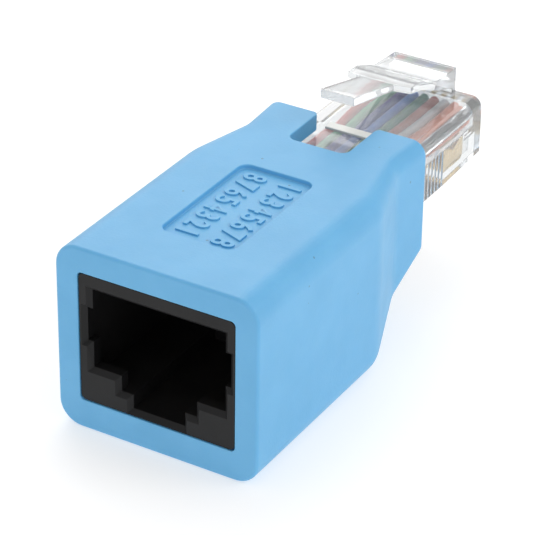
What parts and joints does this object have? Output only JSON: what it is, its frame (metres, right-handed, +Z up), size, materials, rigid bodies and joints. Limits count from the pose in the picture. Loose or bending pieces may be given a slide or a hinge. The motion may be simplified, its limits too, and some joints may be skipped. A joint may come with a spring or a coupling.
{
  "type": "rollover adapter",
  "caption": "Modular rollover adapter: blue moulded housing with an eight-way jack in one end and a clear plug with coloured wires in the other.",
  "frame": {"origin": "under the middle of the whole length, at the level that the underside rests on", "axes": "+Y from the jack face to the plug's nose, +Z up through the latch side, +X across to the right seen from the jack end"},
  "size_m": [0.0186, 0.0442, 0.02],
  "materials": {
    "blue_vinyl": "light blue moulded vinyl with a fine satin grain",
    "black_plastic": "black moulded plastic, satin",
    "clear_plastic": "clear moulded polycarbonate, glossy",
    "gold_plate": "thin gold plating on spring metal",
    "wire_red": "red wire insulation, satin",
    "wire_light_green": "light green wire insulation, satin",
    "wire_dark_blue": "dark blue wire insulation, satin",
    "wire_blue": "blue wire insulation, satin",
    "wire_green": "dark green wire insulation, satin",
    "wire_brown": "red-brown wire insulation, satin",
    "wire_grey": "pale grey wire insulation, satin",
    "wire_orange": "orange wire insulation, satin"
  },
  "bodies": {
    "adapter": {"housing": "blue_vinyl", "jack_insert": "black_plastic", "plug_body": "clear_plastic", "jack_contact_1": "gold_plate", "jack_contact_2": "gold_plate", "jack_contact_3": "gold_plate", "jack_contact_4": "gold_plate", "jack_contact_5": "gold_plate", "jack_contact_6": "gold_plate", "jack_contact_7": "gold_plate", "jack_contact_8": "gold_plate", "plug_blade_1": "gold_plate", "plug_blade_2": "gold_plate", "plug_blade_3": "gold_plate", "plug_blade_4": "gold_plate", "plug_blade_5": "gold_plate", "plug_blade_6": "gold_plate", "plug_blade_7": "gold_plate", "plug_blade_8": "gold_plate", "wire_1": "wire_red", "wire_2": "wire_light_green", "wire_3": "wire_dark_blue", "wire_4": "wire_blue", "wire_5": "wire_green", "wire_6": "wire_brown", "wire_7": "wire_grey", "wire_8": "wire_orange"},
    "latch": {"plug_latch": "clear_plastic"}
  },
  "joints": [
    {"name": "latch_press", "type": "hinge", "parent": "adapter", "child": "latch", "pos_m": [0, 0.02125, 0.0153], "axis": [1, 0, 0], "range_deg": [0, 12], "stiffness_Nm_per_rad": 0.05}
  ]
}
